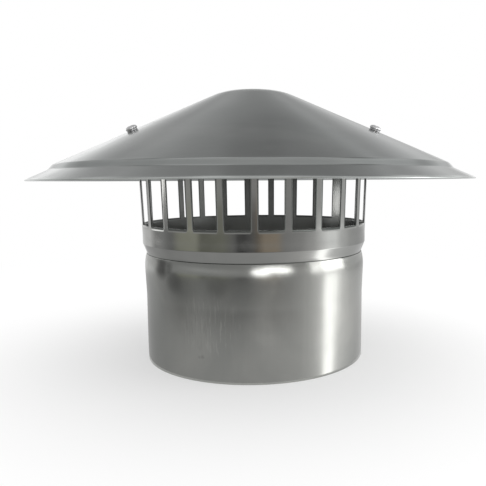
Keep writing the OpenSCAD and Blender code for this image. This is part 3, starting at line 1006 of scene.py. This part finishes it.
# The stops of the cards and the dome were set from brightness and tints measured in the photo's reflections.
# Brightness of the floor card by the direction that a wall which mirrors it faces, in degrees from the front,
# in four stretches from the pipe outwards. A tint stands where the card isn't grey.
CARD_NEAR = (
    (-180, 0.45), (-62, 0.44), (-50, 0.45), (-25, 0.50), (-2, 0.50), (11, 0.54), (20, 0.60), (25, 0.70),
    (29, 0.85), (32, 1.15), (34.5, 2.5), (38.5, 2.6), (41, 1.5), (44, 1.1), (54, 0.83), (62, 0.65),
    (180, 0.50),
)
CARD_MIDDLE = (
    (-180, 0.50), (-56, 0.50), (-47, 0.37), (-37, 0.20), (-26, 0.31), (-15, 0.21), (-2, 0.18), (11, 0.20),
    (16, 0.29), (20, 0.46), (25, 0.63), (30, 0.76), (32.5, 1.0), (35, 2.6), (40.5, 2.6), (43, 1.7),
    (46, 1.15), (53, 0.82), (62, 0.70), (180, 0.60),
)
CARD_FAR = (
    (-180, 0.60), (-64, 0.80), (-59, 0.85), (-53, 0.36), (-47, 0.39), (-40, 0.23), (-36, 0.37, OLIVE),
    (-27, 0.45, OLIVE), (-24, 0.21, OLIVE), (-14, 0.27, OLIVE), (-9, 0.22), (-7, 0.07), (-4, 0.07),
    (-1, 0.14), (1.5, 0.21, WARM), (4, 0.43, WARM), (10, 0.45, WARM), (12.5, 0.34), (20, 0.40), (27, 0.68),
    (35, 1.55), (39.5, 1.55), (43, 1.05), (51, 0.66), (60, 0.56), (180, 0.60),
)
CARD_END = (
    (-180, 0.60), (-60, 0.70), (-45, 0.48), (-20, 0.45), (15, 0.42), (27, 0.60), (45, 0.80), (60, 0.70),
    (180, 0.60),
)
# Brightness of the dome close above the floor card, by direction from the front
DOME_LOW = (
    (-180, 1.0), (-150, 0.95), (-138, 0.80), (-126, 0.50), (-117, 0.27), (-96, 0.34), (-80, 0.50),
    (-55, 0.66), (-20, 0.56), (-10, 0.46), (40, 0.45), (56, 0.80), (70, 1.5), (81, 1.9), (93, 1.3),
    (113, 0.80), (135, 0.90), (180, 1.0),
)
# Brightness of the dome behind the object by its height above the horizon in degrees
DOME_BACK = (
    (0, 0.95), (15, 0.74), (19, 0.88), (23, 0.94), (26, 0.66), (30, 0.54), (35, 0.41), (39, 0.55),
    (41.5, 0.49), (43.5, 0.46), (45, 0.40), (47.3, 0.32), (49, 0.25), (53, 0.22), (57, 0.30), (61, 0.47),
    (90, 0.47),
)
# Brightest that a card or the dome can be
GLOW = 2.6
# Lamps: shape, direction in degrees from the front, distance, height, width, length, roll in degrees,
# radiance, and the pieces that a flag shades from it
LAMPS = {
    "right_softbox": ("RECTANGLE", 84, 1.25, 0.36, 0.70, 0.68, 0, 2.6, ["cage_strip", "rain_cap"]),
    "right_fill": ("RECTANGLE", 61.5, 1.25, 0.34, 0.27, 0.64, 0, 1.5, ["cage_strip", "rain_cap"]),
    "front_softbox": ("ELLIPSE", 5.4, 1.2, 0.20, 0.38, 0.31, -6, 2.3, ["cage_strip", "rain_cap"]),
    "front_strip": ("ELLIPSE", 22, 1.2, 0.27, 0.62, 0.18, -10, 3.6, ["cage_strip", "rain_cap"]),
    "rim_softbox": ("ELLIPSE", -159, 1.3, 0.46, 0.72, 0.24, 0, 0.3, []),
    "left_softbox": ("ELLIPSE", -105, 1.236, 0.17, 0.62, 0.30, 0, 1.3, ["collar_pipe", "rain_cap"]),
    "overhead": ("ELLIPSE", 180, 0.1, 1.6, 2.4, 2.4, 0, 0.5, []),
}


def lay_floor(tone):
    """Round floor whose grid runs out to 6 m: matt near the object, turning to even white further away."""
    material, tree = blank_material("floor_matt")
    place = tree.add("TexCoord").outputs["Object"]
    away = tree.add("VectorMath", operation="LENGTH", _0=place).outputs["Value"]
    far = tree.ramp(away, 0.05, 0.75, 0.45, 1.0)
    matt = tree.add("BsdfDiffuse", Color=(*tone, 1)).outputs[0]
    white = tree.add("Emission", Color=(1, 1, 1, 1), Strength=1.0).outputs[0]
    tree.add("OutputMaterial", Surface=tree.add("MixShader", _0=far, _1=matt, _2=white).outputs[0])
    radius = np.append(0.0, np.geomspace(0.02, 6.0, 40))
    skin = revolved(np.stack([radius, np.full(len(radius), -0.0002)], 1), even_angles(96), False)
    placed("floor", meshed("floor", skin, material))


def light_ramp(tree, share, stops, start=-180, span=360):
    """Colour by a share of a span of degrees. A stop's colour is its brightness over GLOW, times its tint."""
    node = tree.add("ValToRGB", Fac=share)
    elements = node.color_ramp.elements
    while len(elements) < len(stops):
        elements.new(0.5)
    # All places are set before the colours, because a new place can change the elements' order
    for element, (where, *_) in zip(elements, stops):
        element.position = (where - start) / span
    for element, (_, level, *tint) in zip(elements, stops):
        element.color = (*(level / GLOW * part for part in (tint or [GREY])[0]), 1)
    return node.outputs["Color"]


def hang_card(name, tree, glow, skin, material):
    """A stage card that glows in a colour, and only shows in reflections."""
    tree.add("OutputMaterial", Surface=tree.add("Emission", Color=glow, Strength=GLOW).outputs[0])
    piece = placed(name, meshed(name, skin, material))
    for ray in ("camera", "diffuse", "transmission", "volume_scatter", "shadow"):
        setattr(piece, "visible_" + ray, False)


def hang_floor_card():
    """Floor card whose ribs run the way that the pipe's wall mirrors it towards the camera.

    A rib starts at the wall at S = R n and runs along D = v - 2 (v.n) n, where v points from the camera to S.
    Where the wall faces away, D turns evenly to the back. At its far end the card turns up. The map holds the
    wall's direction and the distance along D.
    """
    material, tree = blank_material("floor_card")
    place = tree.add("SeparateXYZ", Vector=tree.add("UVMap", uv_map=UV_NAME).outputs["UV"]).outputs
    glow = light_ramp(tree, place["X"], CARD_NEAR)
    for start, end, stops in ((0.10, 0.30, CARD_MIDDLE), (0.42, 0.62, CARD_FAR), (1.12, 1.3, CARD_END)):
        glow = tree.mix(tree.ramp(place["Y"], start, end), glow, light_ramp(tree, place["X"], stops))
    gap, reach, flat, raised = 0.0004, 2.7, 44, 6
    wall_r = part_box("lower_pipe")[1][0] + gap
    facing = np.linspace(-math.pi, math.pi, 241)
    normal = np.stack([np.sin(facing), -np.cos(facing)], 1)
    view = normal * wall_r - np.array(CAMERA_PLACE[:2])
    view /= np.linalg.norm(view, axis=1)[:, None]
    meets = (view * normal).sum(1)
    seen = meets < 0
    along = view - 2 * np.minimum(meets, 0)[:, None] * normal
    turn = np.arctan2(along[:, 0], -along[:, 1])
    edge, last = facing[seen].max(), turn[seen].max()
    share = np.clip((np.abs(facing) - edge) / (math.pi - edge), 0, 1)
    turn = np.where(seen, turn, np.sign(facing) * (last + (math.pi - last) * share))
    distance = np.append(np.geomspace(gap, reach, flat), np.full(raised, reach))
    height = np.append(np.full(flat, 0.0006), np.linspace(0.01, 0.24, raised))
    x = wall_r * np.sin(facing)[:, None] + distance * np.sin(turn)[:, None]
    y = -wall_r * np.cos(facing)[:, None] - distance * np.cos(turn)[:, None]
    points = np.stack(np.broadcast_arrays(x, y, height), -1)
    hang_card("floor_card", tree, glow, grid_skin(points, facing / TURN + 0.5, distance, False), material)


def hang_dome():
    """Dome over the floor card: lit by direction low down, by height at the back, and evenly elsewhere.

    The back is brighter to both sides above 47 degrees. At the right it is darker, but for a band at 25 to 40.
    """
    material, tree = blank_material("studio_dome")
    place = tree.add("TexCoord").outputs["Object"]
    unit = tree.add("VectorMath", operation="NORMALIZE", _0=place).outputs[0]
    x, y, z = tree.add("SeparateXYZ", Vector=unit).outputs
    height = tree.math("MULTIPLY", tree.math("ARCSINE", z), 2 / math.pi, clamp=True)

    def above(low, high, to_low=0.0, to_high=1.0):
        return tree.ramp(height, low / 90, high / 90, to_low, to_high)

    sideways = tree.math("ABSOLUTE", x)
    apart = tree.times(tree.ramp(sideways, 0.05, 0.13), above(46, 49))
    middle = tree.times(above(22, 28), above(38, 43, 1.0, 0.0))
    right = tree.times(tree.ramp(x, -0.05, 0.15), tree.plus(middle, 0.24, -0.19))
    gain = tree.times(tree.plus(apart, 0.35, 1.0), tree.math("ADD", right, 1.0))
    back = light_ramp(tree, height, DOME_BACK, 0, 90)
    back = tree.add("VectorMath", operation="SCALE", _0=back, Scale=gain).outputs[0]
    front = above(25, 50, 0.38 / GLOW, 0.50 / GLOW)
    high = tree.mix(tree.ramp(y, 0.0, 0.35), front, back)
    flank = tree.times(tree.ramp(sideways, 0.38, 0.55), above(30, 40))
    high = tree.mix(flank, high, tree.ramp(x, -0.3, 0.3, 0.50 / GLOW, 0.68 / GLOW))
    towards = tree.math("ARCTAN2", x, tree.times(y, -1.0))
    share = tree.add("MapRange", Value=towards, From_Min=-math.pi, From_Max=math.pi).outputs[0]
    glow = tree.mix(above(8, 14), light_ramp(tree, share, DOME_LOW), high)
    radius, w = 2.9, np.linspace(0, math.pi / 2, 33)
    skin = revolved(radius * np.stack([np.cos(w), np.sin(w)], 1), even_angles(144), False)
    hang_card("studio_dome", tree, glow, skin, material)


def set_lamps():
    """Area lamps that face the cowl. A lamp's power is pi x radiance x area, so its face shows that radiance.

    A softbox and a narrower fill stand at the right, a round one and a slanting strip in front, a faint one
    behind, one at the left, and one hangs overhead, which no metal mirrors.
    """
    for name, (shape, az, distance, height, wide, tall, roll, radiance, shaded) in LAMPS.items():
        lamp = bpy.data.lights.new(name, "AREA")
        lamp.shape, lamp.size, lamp.size_y = shape, wide, tall
        lamp.energy = math.pi * radiance * wide * tall
        piece = placed(name, lamp)
        piece.location = (*(outward(math.radians(az)) * distance), height)
        facing = (Vector((0, 0, 0.1)) - piece.location).to_track_quat("-Z", "Y")
        piece.rotation_euler = (facing @ Quaternion((0, 0, 1), math.radians(roll))).to_euler()
        piece.visible_camera = False
        piece.visible_glossy = name != "overhead"
        if shaded:
            shade_from(piece, shaded)


def shade_from(lamp, names):
    """Keeps a lamp's light off some pieces, as a flag in front of the lamp would."""
    group = bpy.data.collections.new(lamp.name + "_flag")
    for name in names:
        group.objects.link(bpy.data.objects[name])
    lamp.light_linking.receiver_collection = group
    for link in group.collection_objects:
        link.light_linking.link_state = "EXCLUDE"


def set_world():
    """Pale world: white where the camera or a reflection sees it, and a softer fill for the rest."""
    world = bpy.data.worlds.new("studio")
    bpy.context.scene.world = world
    world.use_nodes = True
    tree = Tree(world.node_tree)
    path = tree.add("LightPath")
    seen = tree.math("MAXIMUM", path.outputs["Is Camera Ray"], path.outputs["Is Glossy Ray"])
    seen = tree.math("MAXIMUM", seen, path.outputs["Is Transmission Ray"])
    sky = tree.add("Background", Color=(1, 1, 1, 1), Strength=tree.plus(seen, 0.10, 0.90))
    tree.add("OutputWorld", Surface=sky.outputs[0])


def place_camera():
    """Camera at the photograph's place, a little below the rim's height, with the lens shifted sideways."""
    data = bpy.data.cameras.new("camera")
    data.sensor_width, data.lens, data.shift_x = 36.0, 41.58, -0.0737
    camera = placed("camera", data)
    yaw, pitch, roll = math.radians(-2.472), math.radians(6.198), math.radians(0.374)
    ahead = Vector((-math.sin(yaw) * math.cos(pitch), math.cos(yaw) * math.cos(pitch), -math.sin(pitch)))
    right = ahead.cross(Vector((0, 0, 1))).normalized()
    up = right.cross(ahead)
    right, up = right * math.cos(roll) - up * math.sin(roll), up * math.cos(roll) + right * math.sin(roll)
    turn = Matrix((right, up, -ahead)).transposed().to_4x4()
    camera.matrix_world = Matrix.Translation(CAMERA_PLACE) @ turn
    bpy.context.scene.camera = camera


class COWL_OT_studio(bpy.types.Operator):
    """Sets the floor, the cards, the lamps, the world and the camera."""

    bl_idname = "cowl.studio"
    bl_label = "Studio"

    def execute(self, context):
        lay_floor(settings("colours")[0].floor)
        hang_floor_card()
        hang_dome()
        set_lamps()
        set_world()
        place_camera()
        return {"FINISHED"}


OPERATORS = (
    COWL_OT_cap, COWL_OT_cage, COWL_OT_pipe, COWL_OT_screws, COWL_OT_washers, COWL_OT_nuts, COWL_OT_brackets,
    COWL_OT_studio,
)
GROUPS = {
    "cowl_sheet": CowlSheet, "cowl_cap": CowlCap, "cowl_cage": CowlCage, "cowl_pipe": CowlPipe,
    "cowl_fasteners": CowlFasteners, "cowl_colours": CowlColours,
}


class COWL_PT_panel(bpy.types.Panel):
    """Lists the cowl's building steps and their sizes."""

    bl_idname = "COWL_PT_panel"
    bl_label = "Chimney cowl"
    bl_space_type = "VIEW_3D"
    bl_region_type = "UI"
    bl_category = "Cowl"

    def draw(self, context):
        for operator in OPERATORS:
            self.layout.operator(operator.bl_idname)
        for key, group in GROUPS.items():
            box = self.layout.box()
            for name in group.__annotations__:
                box.prop(getattr(context.scene, key), name)


def register():
    """Registers the classes and hangs the property groups on the scene."""
    for cls in (*GROUPS.values(), *OPERATORS, COWL_PT_panel):
        bpy.utils.register_class(cls)
    for key, group in GROUPS.items():
        setattr(bpy.types.Scene, key, PointerProperty(type=group))


def unregister():
    """Takes back what register did."""
    for key in GROUPS:
        delattr(bpy.types.Scene, key)
    for cls in (COWL_PT_panel, *OPERATORS, *GROUPS.values()):
        bpy.utils.unregister_class(cls)


def main():
    """Registers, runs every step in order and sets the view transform."""
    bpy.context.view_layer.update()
    register()
    for operator in OPERATORS:
        group, name = operator.bl_idname.split(".")
        getattr(getattr(bpy.ops, group), name)()
    bpy.context.scene.view_settings.view_transform = "Standard"


if __name__ == "__main__":
    main()
